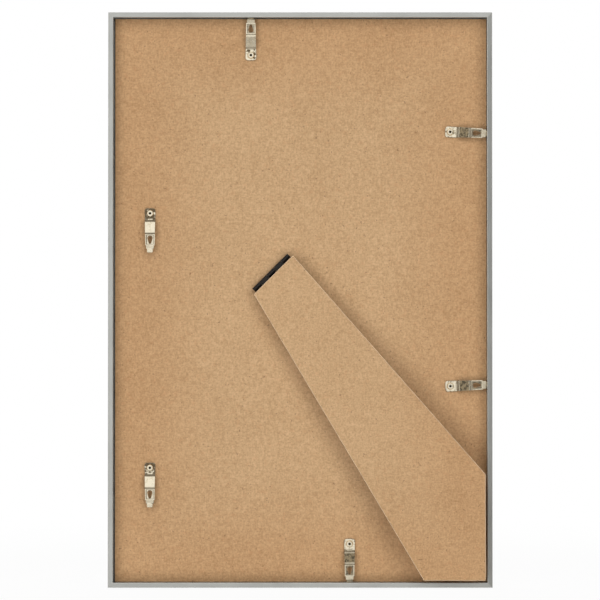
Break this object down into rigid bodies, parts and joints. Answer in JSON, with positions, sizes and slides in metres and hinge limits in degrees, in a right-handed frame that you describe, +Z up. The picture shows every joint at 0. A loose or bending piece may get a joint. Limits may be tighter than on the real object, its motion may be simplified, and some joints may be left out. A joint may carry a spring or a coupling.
{
  "type": "photo frame with turn clips and easel leg",
  "caption": "Slim aluminium photo frame whose fibreboard back is held by riveted turn clips with hanging keyholes and props up on a diagonal two-way easel leg.",
  "frame": {"origin": "middle of the bottom rail's underside, on which the upright frame stands", "axes": "+Z up the frame's height, +Y towards the picture's front, -Y the back with the clips and the leg, +X to the right when looking at the back"},
  "size_m": [0.206, 0.0197, 0.3084],
  "materials": {
    "anodised_rail": "satin grey anodised extrusion",
    "zinc_steel": "zinc plated",
    "nickel_plate": "bright nickel plate",
    "clear_glass": "clear float glass",
    "plain_paper": "matte, unprinted",
    "fibreboard": "smooth pressed fibreboard",
    "black_hinge": "black lacquer"
  },
  "bodies": {
    "frame": {"top_rail": "anodised_rail", "bottom_rail": "anodised_rail", "left_rail": "anodised_rail", "right_rail": "anodised_rail", "corner_key_top_left": "zinc_steel", "corner_key_top_right": "zinc_steel", "corner_key_bottom_left": "zinc_steel", "corner_key_bottom_right": "zinc_steel", "front_pane": "clear_glass", "paper_insert": "plain_paper", "backing_board": "fibreboard", "clip_rivets": "nickel_plate", "hinge_board_leaf": "black_hinge", "hinge_pin": "black_hinge"},
    "leg": {"easel_leg": "fibreboard", "hinge_leg_leaf": "black_hinge"},
    "top_clip_body": {"top_clip": "nickel_plate"},
    "bottom_clip_body": {"bottom_clip": "nickel_plate"},
    "left_upper_clip_body": {"left_upper_clip": "nickel_plate"},
    "left_lower_clip_body": {"left_lower_clip": "nickel_plate"},
    "right_upper_clip_body": {"right_upper_clip": "nickel_plate"},
    "right_lower_clip_body": {"right_lower_clip": "nickel_plate"}
  },
  "joints": [
    {"name": "leg_hinge", "type": "hinge", "parent": "frame", "child": "leg", "pos_m": [-0.0155, -0.00188, 0.1687], "axis": [-0.7071, 0, -0.7071], "range_deg": [-3.2, 30]},
    {"name": "top_clip_turn", "type": "hinge", "parent": "frame", "child": "top_clip_body", "pos_m": [-0.0265, -0.0005, 0.2857], "axis": [0, 1, 0], "continuous": true},
    {"name": "bottom_clip_turn", "type": "hinge", "parent": "frame", "child": "bottom_clip_body", "pos_m": [0.0265, -0.0005, 0.0232], "axis": [0, 1, 0], "continuous": true},
    {"name": "left_upper_clip_turn", "type": "hinge", "parent": "frame", "child": "left_upper_clip_body", "pos_m": [-0.08065, -0.0005, 0.2006], "axis": [0, 1, 0], "continuous": true},
    {"name": "left_lower_clip_turn", "type": "hinge", "parent": "frame", "child": "left_lower_clip_body", "pos_m": [-0.08065, -0.0005, 0.064], "axis": [0, 1, 0], "continuous": true},
    {"name": "right_upper_clip_turn", "type": "hinge", "parent": "frame", "child": "right_upper_clip_body", "pos_m": [0.08065, -0.0005, 0.2444], "axis": [0, 1, 0], "continuous": true},
    {"name": "right_lower_clip_turn", "type": "hinge", "parent": "frame", "child": "right_lower_clip_body", "pos_m": [0.08065, -0.0005, 0.1078], "axis": [0, 1, 0], "range_deg": [-165, 92]}
  ]
}
